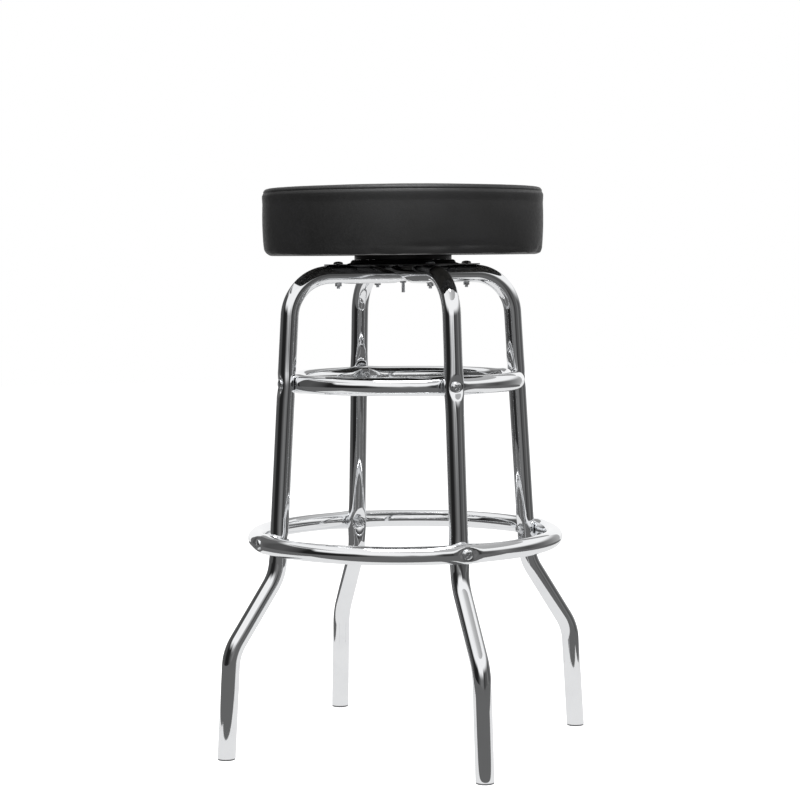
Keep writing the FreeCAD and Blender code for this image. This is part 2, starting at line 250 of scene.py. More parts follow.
def chromePlate():
    # bright chrome plate on polished tube: mirror-like, with faint handling smears and a slight ripple
    smearMm, rippleMm = 38, 9
    material, tree, shader = newMaterial("chromePlate")
    place = addNode(tree, "ShaderNodeTexCoord").outputs["Object"]
    smear = addNode(tree, "ShaderNodeTexNoise", {
        "Vector": place, "Scale": perSize(smearMm), "Detail": 6, "Roughness": 0.62})
    haze = addNode(tree, "ShaderNodeMapRange", {
        "Value": smear.outputs["Fac"], "From Min": 0.42, "From Max": 0.78, "To Min": 0.028, "To Max": 0.085})
    tint = addNode(tree, "ShaderNodeMix", {
        colourMix["share"]: smear.outputs["Fac"], colourMix["first"]: toLinear("#f5f6f7"),
        colourMix["second"]: toLinear("#e9eaec")}, data_type="RGBA")
    ripple = addNode(tree, "ShaderNodeTexNoise", {"Vector": place, "Scale": perSize(rippleMm), "Detail": 2})
    bump = addNode(tree, "ShaderNodeBump", {
        "Strength": 0.06, "Distance": mm(0.1), "Height": ripple.outputs["Fac"]})
    shader.inputs["Metallic"].default_value = 1
    coat(tree, shader, tint.outputs[colourMix["result"]], haze.outputs["Result"], bump.outputs["Normal"])
    return material


def blackVinyl():
    # upholstery vinyl: calendered PVC with a fine embossed leather grain, satin, a little dusty
    grainMm, creaseMm, cloudMm = 1.5, 5, 70  # a real grain of about 0.7 mm is drawn coarser so that it shows
    material, tree, shader = newMaterial("blackVinyl")
    place = addNode(tree, "ShaderNodeTexCoord").outputs["Object"]
    grain = addNode(tree, "ShaderNodeTexVoronoi", {
        "Vector": place, "Scale": perSize(grainMm), "Randomness": 1}, feature="SMOOTH_F1")
    crease = addNode(tree, "ShaderNodeTexNoise", {"Vector": place, "Scale": perSize(creaseMm), "Detail": 5})
    cloud = addNode(tree, "ShaderNodeTexNoise", {"Vector": place, "Scale": perSize(cloudMm), "Detail": 4})
    height = addNode(tree, "ShaderNodeMath", {
        0: grain.outputs["Distance"], 1: crease.outputs["Fac"]}, operation="ADD")
    bump = addNode(tree, "ShaderNodeBump", {
        "Strength": 0.22, "Distance": mm(0.25), "Height": height.outputs["Value"]})
    tone = addNode(tree, "ShaderNodeValToRGB", {"Fac": cloud.outputs["Fac"]})
    fillRamp(tone.color_ramp, [(0.3, toLinear("#191919")), (0.75, toLinear("#202021"))])
    satin = addNode(tree, "ShaderNodeMapRange", {
        "Value": crease.outputs["Fac"], "From Min": 0.3, "From Max": 0.7, "To Min": 0.42, "To Max": 0.54})
    coat(tree, shader, tone.outputs["Color"], satin.outputs["Result"], bump.outputs["Normal"])
    shader.inputs["IOR"].default_value = 1.52
    return material


def speckled(name, dark, light, cellMm, roughLow, roughHigh, metallic=0.0, bumpMm=0.05):
    # one recipe for the plain finishes: two tones in fine mottling, roughness and bump from the same grain
    material, tree, shader = newMaterial(name)
    place = addNode(tree, "ShaderNodeTexCoord").outputs["Object"]
    grain = addNode(tree, "ShaderNodeTexNoise", {
        "Vector": place, "Scale": perSize(cellMm), "Detail": 5, "Roughness": 0.6})
    tone = addNode(tree, "ShaderNodeValToRGB", {"Fac": grain.outputs["Fac"]})
    fillRamp(tone.color_ramp, [(0.3, toLinear(dark)), (0.72, toLinear(light))])
    rough = addNode(tree, "ShaderNodeMapRange", {
        "Value": grain.outputs["Fac"], "From Min": 0.3, "From Max": 0.7,
        "To Min": roughLow, "To Max": roughHigh})
    bump = addNode(tree, "ShaderNodeBump", {
        "Strength": 0.3, "Distance": mm(bumpMm), "Height": grain.outputs["Fac"]})
    coat(tree, shader, tone.outputs["Color"], rough.outputs["Result"], bump.outputs["Normal"])
    shader.inputs["Metallic"].default_value = metallic
    return material


def birchPlywood():
    # rotary-cut birch plywood stained black: the long grain shows faintly through the stain
    grainMm, plyMm, grainStretch = 14, 4, (0.12, 1, 1)
    material, tree, shader = newMaterial("birchPlywood")
    place = addNode(tree, "ShaderNodeTexCoord").outputs["Object"]
    stretch = addNode(tree, "ShaderNodeMapping", {"Vector": place, "Scale": grainStretch})
    grain = addNode(tree, "ShaderNodeTexNoise", {
        "Vector": stretch.outputs["Vector"], "Scale": perSize(grainMm), "Detail": 8, "Distortion": 0.6})
    ply = addNode(tree, "ShaderNodeTexWave", {
        "Vector": place, "Scale": perSize(plyMm) * wavePerMetre, "Distortion": 0.3}, bands_direction="Z")
    tone = addNode(tree, "ShaderNodeValToRGB", {"Fac": grain.outputs["Fac"]})
    fillRamp(tone.color_ramp, [(0.32, toLinear("#141312")), (0.7, toLinear("#26231f"))])
    bump = addNode(tree, "ShaderNodeBump", {
        "Strength": 0.25, "Distance": mm(0.15), "Height": grain.outputs["Fac"]})
    rough = addNode(tree, "ShaderNodeMapRange", {
        "Value": ply.outputs["Fac"], "To Min": 0.62, "To Max": 0.8})
    coat(tree, shader, tone.outputs["Color"], rough.outputs["Result"], bump.outputs["Normal"])
    return material


chrome = chromePlate()
vinyl = blackVinyl()
brightSteel = speckled("nickelPlatedSteel", "#d8dadc", "#f0f1f2", 2.5, 0.1, 0.22, 1.0)
zincSteel = speckled("zincPlatedSteel", "#c8cacc", "#e8eaec", 2.5, 0.3, 0.48, 1.0)
paintedSteel = speckled("blackStovedSteel", "#0c0c0d", "#171718", 1.2, 0.34, 0.5)
glidePlastic = speckled("greyNylonGlide", "#4c4d4f", "#636466", 1.6, 0.45, 0.6)
ballSteel = speckled("groundBearingSteel", "#b5b7b9", "#cfd1d3", 3.0, 0.06, 0.12, 1.0, 0.01)
cagePlastic = speckled("naturalAcetalCage", "#cfc9b8", "#ded9ca", 2.0, 0.4, 0.55)
# painted shade: the staple wire is drawn near black, as dark as the shade under the seat
shadeDarkStapleWire = speckled("stapleWirePaintedShade", "#17181a", "#2a2b2d", 0.8, 0.4, 0.55)
foamMaterial = speckled("cutPolyurethaneFoam", "#cbb98a", "#e0d0a4", 1.4, 0.85, 0.95, 0.0, 0.4)
plywood = birchPlywood()
print("materials ready")


# Camera, at the photograph's place: worked out from the edges of the seat, legs and rings

photoCamera = {
    "distance": 3.0231,
    "height": 0.6865,
    "turn": math.radians(22.331),
    "yaw": math.radians(-0.1106),
    "pitch": math.radians(3.738),
    "roll": math.radians(-0.4515),
    "lensMm": 96.35,
    "sensorMm": 36,
}


def placeCamera(values):
    clearSelection()
    bpy.ops.object.camera_add()
    camera = bpy.context.active_object
    camera.name = "photoCamera"
    camera.data.lens = values["lensMm"]
    camera.data.sensor_width = values["sensorMm"]
    turn = Matrix.Rotation(-values["turn"], 4, "Z")
    aim = (Matrix.Rotation(-values["yaw"], 4, "Z")
           @ Matrix.Rotation(math.pi / 2 - values["pitch"], 4, "X")
           @ Matrix.Rotation(values["roll"], 4, "Z"))
    spot = Matrix.Translation((0, -values["distance"], values["height"]))
    camera.matrix_world = turn @ spot @ aim
    bpy.context.scene.camera = camera


placeCamera(photoCamera)
print("camera placed")


# Studio: white surroundings, a pale floor, soft lamps, and grey boards that only the chrome sees

studio = {
    "skyLight": 0.62,
    "floorReach": 9.0,
    "floorDrop": mm(0.2),
    "floorTone": "#e6e6e6",
    "floorGlow": 0.66,
    "floorMirrored": 0.85,
    "boardReach": 3.4,
    "boardTop": 3.2,
    "apronShare": 0.66,
    "boardSides": 180,
    "boardHalfTurn": 150,
    "boardLift": mm(2),
    "boardFade": (2.5, 3.4),
    "windowLift": 2.25,
    "windowShares": [(-150, 0), (-80, 0), (-68, 0.55), (-50, 0.67), (-36, 0.67), (-24, 0.9), (-12, 0.95),
                     (-3, 1), (5, 0.87), (11, 1), (20, 0.93), (26, 0.67), (128, 0.67)],
    "boardTones": [
        (-150, "#686868"), (-128, "#646464"), (-116, "#505050"), (-97, "#555555"), (-82, "#424242"),
        (-75, "#232323"), (-42, "#222222"), (-34, "#343434"), (-20, "#5c5c5c"), (0, "#7c7c7c"),
        (20, "#6a6a6a"), (27, "#3a3a3a"), (34, "#3c3c3c"), (42, "#555555"), (62, "#5a5a5a"),
        (72, "#7a7a7a"), (84, "#606060"), (97, "#505050"), (116, "#6e6e6e"), (128, "#8a8a8a"),
        (150, "#b4b4b4"),
    ],
    "frontBoardGap": 0.28,
    "sideBoardGaps": {1: 0.85, -1: 0.6},
    "sideBoardDepth": 2.2,
    "floorBoardLift": mm(1),
    "floorBoardTone": "#686868",
    "highBoardHeight": 2.9,
    "highBoardSize": (2.2, 4.5),
    "highBoardTone": "#9a9a9a",
    "ceilingHeight": 3.2,
    "ceilingTones": [
        (-3.4, "#404040"), (-3.1, "#606060"), (-2.5, "#ffffff"), (-0.6, "#f8f8f8"), (0.5, "#cdcdcd"),
        (1.8, "#b6b6b6"), (3.4, "#adadad"),
    ],
}


def whiteWorld(values):
    world = bpy.data.worlds.new("whiteSurround")
    bpy.context.scene.world = world
    world.use_nodes = True
    tree = world.node_tree
    rays = addNode(tree, "ShaderNodeLightPath")
    seen = addNode(tree, "ShaderNodeMath", {
        0: rays.outputs["Is Camera Ray"], 1: rays.outputs["Is Glossy Ray"]}, operation="MAXIMUM")
    shown = addNode(tree, "ShaderNodeMath", {
        0: seen.outputs["Value"], 1: rays.outputs["Is Transmission Ray"]}, operation="MAXIMUM")
    strength = addNode(tree, "ShaderNodeMapRange", {
        "Value": shown.outputs["Value"], "To Min": values["skyLight"], "To Max": 1.0})
    background = tree.nodes["Background"]
    background.inputs["Color"].default_value = (1, 1, 1, 1)
    tree.links.new(strength.outputs["Result"], background.inputs["Strength"])


def paleFloor(values):
    clearSelection()
    bpy.ops.mesh.primitive_plane_add(size=2 * values["floorReach"], location=-upAxis * values["floorDrop"])
    floor = named("paleFloor")
    material, tree, shader = newMaterial("paleStudioFloor")
    tree.nodes.remove(shader)
    rays = addNode(tree, "ShaderNodeLightPath")
    matt = addNode(tree, "ShaderNodeBsdfDiffuse", {"Color": toLinear(values["floorTone"])})
    glow = addNode(tree, "ShaderNodeEmission", {"Color": (1, 1, 1, 1), "Strength": values["floorGlow"]})
    white = addNode(tree, "ShaderNodeEmission", {
        "Color": (1, 1, 1, 1), "Strength": values["floorMirrored"]})
    lit = addNode(tree, "ShaderNodeAddShader", {0: matt.outputs["BSDF"], 1: glow.outputs["Emission"]})
    forCamera = addNode(tree, "ShaderNodeMixShader", {
        0: rays.outputs["Is Camera Ray"], 1: matt.outputs["BSDF"], 2: lit.outputs["Shader"]})
    mirrored = addNode(tree, "ShaderNodeMath", {
        0: rays.outputs["Is Glossy Ray"], 1: rays.outputs["Is Transmission Ray"]}, operation="MAXIMUM")
    both = addNode(tree, "ShaderNodeMixShader", {
        0: mirrored.outputs["Value"], 1: forCamera.outputs["Shader"], 2: white.outputs["Emission"]})
    tree.links.new(both.outputs["Shader"], tree.nodes["Material Output"].inputs["Surface"])
    floor.data.materials.append(material)


def boardOnlyForMirrors(board, material):
    board.data.materials.append(material)
    board.visible_camera = False
    board.visible_diffuse = False
    board.visible_transmission = False
    board.visible_shadow = False


def flatBoard(name, place, size, turn, material):
    clearSelection()
    bpy.ops.mesh.primitive_plane_add(size=1, location=place, rotation=turn)
    board = named(name)
    board.scale = (*size, 1)
    bpy.ops.object.transform_apply(location=True, rotation=True, scale=True)
    boardOnlyForMirrors(board, material)


def glowing(name):  # a material that only shines, with the socket for its colour
    material, tree, shader = newMaterial(name)
    tree.nodes.remove(shader)
    glow = addNode(tree, "ShaderNodeEmission", {"Strength": 1.0})
    tree.links.new(glow.outputs["Emission"], tree.nodes["Material Output"].inputs["Surface"])
    return material, tree, glow.inputs["Color"]


def plainGlow(name, tone):
    material, tree, colour = glowing(name)
    colour.default_value = toLinear(tone)
    return material


def fromCamera(tree, facing):  # X runs from the stool to the camera, Y to the camera's right
    place = addNode(tree, "ShaderNodeTexCoord").outputs["Object"]
    turned = addNode(tree, "ShaderNodeMapping", {"Vector": place, "Rotation": (0, 0, -facing)})
    return addNode(tree, "ShaderNodeSeparateXYZ", {"Vector": turned.outputs["Vector"]}).outputs


def acrossHalf(stops, half):  # the same stops, with their places from minus half to half told from 0 to 1
    return [((place + half) / (2 * half), colour) for place, colour in stops]


def curvedBoardGlow(values, facing):
    # tones that change round the stool, measured in degrees from the line to the camera
    material, tree, colour = glowing("curvedBoardGlow")
    place = fromCamera(tree, facing)
    angle = addNode(tree, "ShaderNodeMath", {0: place["Y"], 1: place["X"]}, operation="ARCTAN2")
    share = addNode(tree, "ShaderNodeMapRange", {
        "Value": angle.outputs["Value"], "From Min": -math.pi, "From Max": math.pi})
    tones = addNode(tree, "ShaderNodeValToRGB", {"Fac": share.outputs["Result"]})
    greys = [(degrees, toLinear(tone)) for degrees, tone in values["boardTones"]]
    fillRamp(tones.color_ramp, acrossHalf(greys, 180))
    window = addNode(tree, "ShaderNodeValToRGB", {"Fac": share.outputs["Result"]})
    lifts = [(degrees, (lift, lift, lift, 1)) for degrees, lift in values["windowShares"]]
    fillRamp(window.color_ramp, acrossHalf(lifts, 180))
    lifted = addNode(tree, "ShaderNodeMath", {
        0: window.outputs["Color"], 1: values["windowLift"], 2: place["Z"]}, operation="MULTIPLY_ADD")
    fade = addNode(tree, "ShaderNodeMapRange", {
        "Value": lifted.outputs["Value"], "From Min": values["boardFade"][0],
        "From Max": values["boardFade"][1]}, interpolation_type="SMOOTHSTEP")
    paled = addNode(tree, "ShaderNodeMix", {
        colourMix["share"]: fade.outputs["Result"], colourMix["first"]: tones.outputs["Color"],
        colourMix["second"]: (1, 1, 1, 1)}, data_type="RGBA")
    tree.links.new(paled.outputs[colourMix["result"]], colour)
    return material


def ceilingGlow(values, facing):
    # a pale ceiling that is darker to the right of the camera and dark far to the left
    material, tree, colour = glowing("ceilingGlow")
    reach = values["boardReach"]
    share = addNode(tree, "ShaderNodeMapRange", {
        "Value": fromCamera(tree, facing)["Y"], "From Min": -reach, "From Max": reach})
    tones = addNode(tree, "ShaderNodeValToRGB", {"Fac": share.outputs["Result"]})
    greys = [(metres, toLinear(tone)) for metres, tone in values["ceilingTones"]]
    fillRamp(tones.color_ramp, acrossHalf(greys, reach))
    tree.links.new(tones.outputs["Color"], colour)
    return material


def mirrorBoards(values, camera):
    facing = -math.pi / 2 - camera["turn"]
    half = math.radians(values["boardHalfTurn"])
    clearSelection()
    bpy.ops.mesh.primitive_cylinder_add(
        vertices=values["boardSides"], radius=values["boardReach"], depth=values["boardTop"],
        end_fill_type="NOTHING", location=(0, 0, values["boardTop"] / 2 + values["boardLift"]))
    curved = named("curvedBoard")
    bpy.ops.object.transform_apply(location=True)

    def behind(face):
        turn = math.atan2(face.center.y, face.center.x) - facing
        return abs((turn + math.pi) % (2 * math.pi) - math.pi) > half

    def atFoot(edge):
        return all(curved.data.vertices[end].co.z < values["boardTop"] / 2 for end in edge.vertices)

    pick(curved, "FACE", behind)
    bpy.ops.mesh.delete(type="FACE")
    pick(curved, "EDGE", atFoot)
    bpy.ops.mesh.extrude_region_move()
    apron = values["apronShare"]
    bpy.ops.transform.resize(value=(apron, apron, 1), center_override=(0, 0, 0))
    clearSelection()
    boardOnlyForMirrors(curved, curvedBoardGlow(values, facing))

    towards = wayOut(facing)
    aside = upAxis.cross(towards)
    reach = values["boardReach"]
    onFloor = upAxis * values["floorBoardLift"]
    floorGlow = plainGlow("floorBoardGlow", values["floorBoardTone"])
    depth = reach - values["frontBoardGap"]
    flatBoard("frontFloorBoard", towards * (values["frontBoardGap"] + depth / 2) + onFloor,
              (depth, 2 * reach), (0, 0, facing), floorGlow)
    back = values["sideBoardDepth"] / 2 - values["frontBoardGap"]
    for side, gap in values["sideBoardGaps"].items():
        width = reach - gap
        middle = aside * side * (gap + width / 2) - towards * back
        flatBoard("sideFloorBoard", middle + onFloor, (values["sideBoardDepth"], width),
                  (0, 0, facing), floorGlow)
    flatBoard("highBackBoard", upAxis * values["highBoardHeight"] - towards * reach, values["highBoardSize"],
              (0, math.pi / 2, facing), plainGlow("highBoardGlow", values["highBoardTone"]))
    flatBoard("ceilingBoard", upAxis * values["ceilingHeight"], (2 * reach, 2 * reach), (0, 0, facing),
              ceilingGlow(values, facing))


softLamps = [
    {"name": "mainLamp", "at": (-1.0, -2.4, 2.9), "size": 2.2, "watts": 36, "mirrored": False},
    {"name": "fillLamp", "at": (2.3, -1.3, 2.3), "size": 2.0, "watts": 20, "mirrored": False},
    {"name": "backLamp", "at": (0.6, 2.4, 2.8), "size": 1.8, "watts": 18, "mirrored": False},
    {"name": "topLamp", "at": (-0.2, -0.45, 2.7), "size": 1.4, "watts": 38, "mirrored": True},
]


def hangLamps(lamps, aimHeight=0.5):
    for lamp in lamps:
        clearSelection()
        bpy.ops.object.light_add(type="AREA", location=lamp["at"])
        light = bpy.context.active_object
        light.name = lamp["name"]
        light.data.energy = lamp["watts"]
        light.data.size = lamp["size"]
        aim = Vector((0, 0, aimHeight)) - Vector(lamp["at"])
        light.rotation_euler = aim.to_track_quat("-Z", "Y").to_euler()
        light.visible_glossy = lamp["mirrored"]


whiteWorld(studio)
paleFloor(studio)
mirrorBoards(studio, photoCamera)
hangLamps(softLamps)
bpy.context.scene.view_settings.view_transform = "Standard"
print("studio ready")


# Places read from the frame

def boxCorners(node):
    return [Vector(corner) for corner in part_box(node)]


braceLow, braceHigh = boxCorners("brace_ring")
footLow, footHigh = boxCorners("foot_ring")
tubeR = (braceHigh.z - braceLow.z) / 2
braceZ = (braceHigh.z + braceLow.z) / 2
footRingZ = (footHigh.z + footLow.z) / 2
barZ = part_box("lower_swivel_plate")[0][2] - tubeR
footR = max(mount["pos_m"][0] for mount in frame["record"]["mounts"])
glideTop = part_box("leg_hoop_under")[0][2]


# Pressed seats: the tube wall is pushed in along the bolt, with a flat floor and rounded sides

pressing = {
    "seatDepth": mm(4.5),
    "seatFloor": mm(8.0),
    "seatAngle": math.radians(64),
    "bracePad": mm(4.0),
    "footPad": mm(2.2),
    "padAngle": math.radians(50),
    "margin": mm(1.0),
    "shallowDepth": mm(1.5),
    "shallowAngle": math.radians(60),
    "washerR": mm(5.2),
    "crossNutR": mm(5.62),
    "crossHeadR": mm(6.8),
    "rounding": mm(1.4),
    "flare": 0.11,
    "flareReach": mm(19),
    "crushHalf": mm(14.3),
    "crushRamp": mm(22),
    "crushRounding": mm(3),
    "wall": mm(1.2),
}


def padFloor(depth):
    return math.sqrt(2 * (tubeR ** 2 - (tubeR - depth) ** 2)) + pressing["margin"]


def pressIn(piece, floor, axis, along, floorR, angle, flare=0.0):
    slope = 1 / math.tan(angle)
    across = axis.cross(along)
    reach = floorR + 2 * tubeR * math.tan(angle)
    for vertex in piece.data.vertices:
        offset = vertex.co - floor
        if offset.length > reach:
            continue
        height = offset.dot(axis)
        radius = (offset - axis * height).length
        lowered = softMin(height, max(radius - floorR, 0) * slope, pressing["rounding"])
        run = offset.dot(along) / pressing["flareReach"]
        widen = flare * math.exp(-run * run) * offset.dot(across)
        vertex.co += axis * (lowered - height) + across * widen


# Leg hoops: a circle drawn up one leg, over the bar and down the other

legHoop = {
    "sides": 64,
    "footRise": mm(147.7),
    "kickRise": mm(104.7),
    "kickOut": mm(68),
    "splay": math.radians(3.56),
    "kickBend": mm(70),
    "barBend": mm(60),
    "plateBoltR": mm(97.6),
    "fineStep": mm(1.5),
    "plainStep": mm(16),
    "fineReach": mm(24),
    "bendStep": math.radians(3.2),
    "leastBendSteps": 4,
}
splaySlope = math.tan(legHoop["splay"])
kickLowR = footR - splaySlope * legHoop["footRise"]
kickTopR = kickLowR - legHoop["kickOut"]
kickTopZ = legHoop["footRise"] + legHoop["kickRise"]
hoopHalf = kickTopR - splaySlope * (barZ - kickTopZ)


def legR(z):
    return hoopHalf + splaySlope * (barZ - z)


def stations(start, end, seats):  # distances along a run, close together near the seats
    length = (end - start).length
    marks = [0.0]
    while marks[-1] < length:
        spot = start + (end - start) * (marks[-1] / length)
        near = any((spot - seat).length < legHoop["fineReach"] for seat in seats)
        marks.append(marks[-1] + (legHoop["fineStep"] if near else legHoop["plainStep"]))
    stretch = length / marks[-1]
    return [mark * stretch for mark in marks]


def drawStraight(start, end, seats):
    marks = stations(start, end, seats)
    heading = (end - start).normalized()
    for near, far in zip(marks, marks[1:]):
        bpy.ops.mesh.extrude_region_move(TRANSFORM_OT_translate={"value": heading * (far - near)})


def drawTube(corners, radii, seats):
    heading = (corners[1] - corners[0]).normalized()
    clearSelection()
    bpy.ops.mesh.primitive_circle_add(
        vertices=legHoop["sides"], radius=tubeR, location=corners[0],
        rotation=heading.to_track_quat("Z", "Y").to_euler())
    piece = bpy.context.active_object
    bpy.ops.object.transform_apply(location=True, rotation=True, scale=True)
    pick(piece, "VERT", lambda vertex: True)
    start = corners[0]
    for index, radius in enumerate(radii):
        corner = corners[index + 1]
        back = (corners[index] - corner).normalized()
        ahead = (corners[index + 2] - corner).normalized()
        half = back.angle(ahead) / 2
        centre = corner + (back + ahead).normalized() * (radius / math.sin(half))
        turn = math.pi - 2 * half
        drawStraight(start, corner + back * (radius / math.tan(half)), seats)
        bpy.ops.mesh.spin(
            steps=max(int(turn / legHoop["bendStep"]), legHoop["leastBendSteps"]), angle=turn,
            center=centre, axis=back.cross(ahead).normalized())
        start = corner + ahead * (radius / math.tan(half))
    drawStraight(start, corners[-1], seats)
    return piece


def hoopCorners():
    below = 2 * tubeR
    right = [
        Vector((footR + splaySlope * below, 0, -below)),
        Vector((kickLowR, 0, legHoop["footRise"])),
        Vector((kickTopR, 0, kickTopZ)),
        Vector((hoopHalf, 0, barZ)),
    ]
    return right + [Vector((-corner.x, 0, corner.z)) for corner in reversed(right)]


def hoopSeats():
    seats = [Vector((0, 0, barZ))]
    for side in (1, -1):
        seats += [Vector((side * legR(z), 0, z)) for z in (braceZ, footRingZ)]
        seats.append(Vector((side * legHoop["plateBoltR"], 0, barZ)))
    return seats


def pressLegSeats(piece):
    for side in (1, -1):
        away = Vector((side, 0, 0))
        seats = [
            (braceZ, legR(braceZ) + tubeR - pressing["seatDepth"], 1, pressing["seatFloor"],
             pressing["seatAngle"], pressing["flare"]),
            (braceZ, legR(braceZ) - tubeR + pressing["bracePad"], -1, padFloor(pressing["bracePad"]),
             pressing["padAngle"], 0),
            (footRingZ, legR(footRingZ) - tubeR + pressing["seatDepth"], -1, pressing["seatFloor"],
             pressing["seatAngle"], pressing["flare"]),
            (footRingZ, legR(footRingZ) + tubeR - pressing["footPad"], 1, padFloor(pressing["footPad"]),
             pressing["padAngle"], 0),
        ]
        for z, radius, way, floorR, angle, flare in seats:
            pressIn(piece, away * radius + upAxis * z, away * way, upAxis, floorR, angle, flare)
        nutSeat = away * legHoop["plateBoltR"] + upAxis * (barZ - tubeR + pressing["shallowDepth"])
        pressIn(piece, nutSeat, -upAxis, away, pressing["washerR"], pressing["shallowAngle"])


def crushCrossing(piece, side):  # the bar is pressed half flat where it meets the other one
    slope = tubeR / pressing["crushRamp"]
    for vertex in piece.data.vertices:
        rise = (vertex.co.z - barZ) * side
        run = abs(vertex.co.x) - pressing["crushHalf"]
        if abs(rise) > tubeR + pressing["margin"] or run > 2 * pressing["crushRamp"]:
            continue
        lowered = softMin(rise, max(run, 0) * slope, pressing["crushRounding"])
        vertex.co.z += (lowered - rise) * side


def legHoopPiece(name, crushSide):
    bend, kick = legHoop["barBend"], legHoop["kickBend"]
    drawTube(hoopCorners(), [kick, kick, bend, bend, kick, kick], hoopSeats())
    bpy.ops.mesh.select_all(action="SELECT")
    bpy.ops.mesh.bisect(plane_co=(0, 0, glideTop), plane_no=(0, 0, 1), clear_inner=True)
    clearSelection()
    piece = named(name)
    tidyNormals(piece)
    pressLegSeats(piece)
    crushCrossing(piece, crushSide)
    depth, floorR = ((pressing["seatDepth"], pressing["crossNutR"]) if crushSide > 0
                     else (pressing["shallowDepth"], pressing["crossHeadR"]))
    axis = upAxis * -crushSide
    floor = upAxis * barZ + axis * (tubeR - depth)
    pressIn(piece, floor, axis, Vector((1, 0, 0)), floorR, pressing["shallowAngle"])
    applyModifier(piece, "SOLIDIFY", thickness=pressing["wall"], offset=-1, use_even_offset=True)
    smooth(piece)
    return piece


underHoop = legHoopPiece("legHoopUnder", 1)
settle(underHoop, "base", "chrome_tube", chrome, "leg_hoop_under")
overStart = legHoopPiece("legHoopOverStart", -1)
overHoop = turnedCopy(overStart, "legHoopOver", quarterTurns[1])
bpy.data.objects.remove(overStart)
settle(overHoop, "base", "chrome_tube", chrome, "leg_hoop_over")
print("leg hoops bent", len(underHoop.data.vertices), "points each")


# Rings: one closed tube each, pressed where the legs and the bolts sit

rings = {
    "brace_ring": {"name": "braceRing", "steps": 600, "sides": 56, "legSide": 1, "pad": pressing["bracePad"]},
    "foot_ring": {"name": "footRing", "steps": 720, "sides": 56, "legSide": -1, "pad": pressing["footPad"]},
}


def ringPiece(node, values):
    low, high = boxCorners(node)
    ringR = high.x - tubeR
    ringZ = (low.z + high.z) / 2
    clearSelection()
    bpy.ops.mesh.primitive_torus_add(
        major_segments=values["steps"], minor_segments=values["sides"],
        major_radius=ringR, minor_radius=tubeR, location=(0, 0, ringZ))
    piece = named(values["name"])
    bpy.ops.object.transform_apply(location=True)
    for angle in quarterTurns:
        away = wayOut(angle)
        along = upAxis.cross(away)
        middle = away * ringR + upAxis * ringZ
        legWay = away * values["legSide"]
        padSpot = middle + legWay * (tubeR - values["pad"])
        seatSpot = middle - legWay * (tubeR - pressing["seatDepth"])
        pressIn(piece, padSpot, legWay, along, padFloor(values["pad"]), pressing["padAngle"])
        pressIn(piece, seatSpot, -legWay, along, pressing["seatFloor"], pressing["seatAngle"],
                pressing["flare"])
    smooth(piece)
    settle(piece, "base", "chrome_tube", chrome, node)


for ringNode, ringValues in rings.items():
    ringPiece(ringNode, ringValues)
print("rings bent")


# Fasteners: turned bolts with a cross recess and a rolled thread, hexagon nuts and washers

ringBolt = {
    "shankR": mm(3),
    "pitch": mm(1.0),
    "threadRun": mm(11),
    "headR": mm(7),
    "headH": mm(4),
    "headEdge": mm(1.3),
    "recessReach": mm(8.7),
    "recessWidth": mm(1.4),
    "recessFloor": mm(1.8),
    "pastNut": mm(0.8),
}
plateBolt = {
    "shankR": mm(2.5),
    "pitch": mm(0.8),
    "threadRun": mm(14.4),
    "headR": mm(6.8),
    "headH": mm(3.8),
    "headEdge": mm(1.2),
    "recessReach": mm(8.4),
    "recessWidth": mm(1.4),
    "recessFloor": mm(1.7),
}
crossingBolt = plateBolt | {"threadRun": mm(20)}
ringNut = {
    "flats": mm(10),
    "height": mm(6),
    "boreR": mm(3.05),
    "flangeR": mm(6.7),
    "flangeEdge": mm(0.6),
    "flangeTop": mm(1.8),
    "neckShare": 0.94,
}
plateNut = {"flats": mm(8), "height": mm(4), "boreR": mm(2.55)}
plateWasher = {"outerR": mm(5.2), "holeR": mm(2.75), "thick": mm(1.0), "edge": mm(0.2)}
headTurns = [math.radians(degrees) for degrees in (28, 71, 12, 50)]
threadSteps = 8
threadFind = mm(0.02)
headSteps = 12
fastenerEdge = mm(0.15)
fastenerSmooth = 40
nutChamfer = math.radians(30)


def boltPiece(name, values, length):  # upright, with the underside of its head at height 0
    shankR, headR, edge = values["shankR"], values["headR"], values["headEdge"]
    lead = values["pitch"] / 2
    marks = round(values["threadRun"] / values["pitch"]) * threadSteps
    points = [(0.0, -length), (shankR - lead, -length)]
    points += [(shankR, z) for z in spread(lead - length, values["threadRun"] - length, 1, 1, marks)]
    points += [(shankR, 0.0), (headR, 0.0)]
    for step in range(headSteps + 1):
        turn = math.pi / 2 * step / headSteps
        points.append((headR * math.cos(turn), edge + (values["headH"] - edge) * math.sin(turn)))
    piece = lathe(name, points, roundSides)
    cutCross(piece, values)
    softenEdges(piece, fastenerEdge)
    rollThread(piece, values, values["threadRun"] - length)
    smooth(piece, fastenerSmooth)
    return piece


def cutCross(piece, values):
    height = values["headH"]
    size = (values["recessReach"], values["recessWidth"], height)
    for turn in quarterTurns[:2]:
        cutter = block("recessCutter", size, upAxis * (values["recessFloor"] + height / 2), turn)
        combine(piece, cutter, "DIFFERENCE")


def rollThread(piece, values, top):
    pitch = values["pitch"]
    for vertex in piece.data.vertices:
        point = vertex.co
        radius = math.hypot(point.x, point.y)
        if abs(radius - values["shankR"]) > threadFind or point.z > top:
            continue
        turn = point.z / pitch - math.atan2(point.y, point.x) / (2 * math.pi)
        depth = pitch / 2 * abs(2 * (turn % 1) - 1) * (1 - easeStep(point.z, top - 2 * pitch, top))
        vertex.co -= Vector((point.x, point.y, 0)) * (depth / radius)


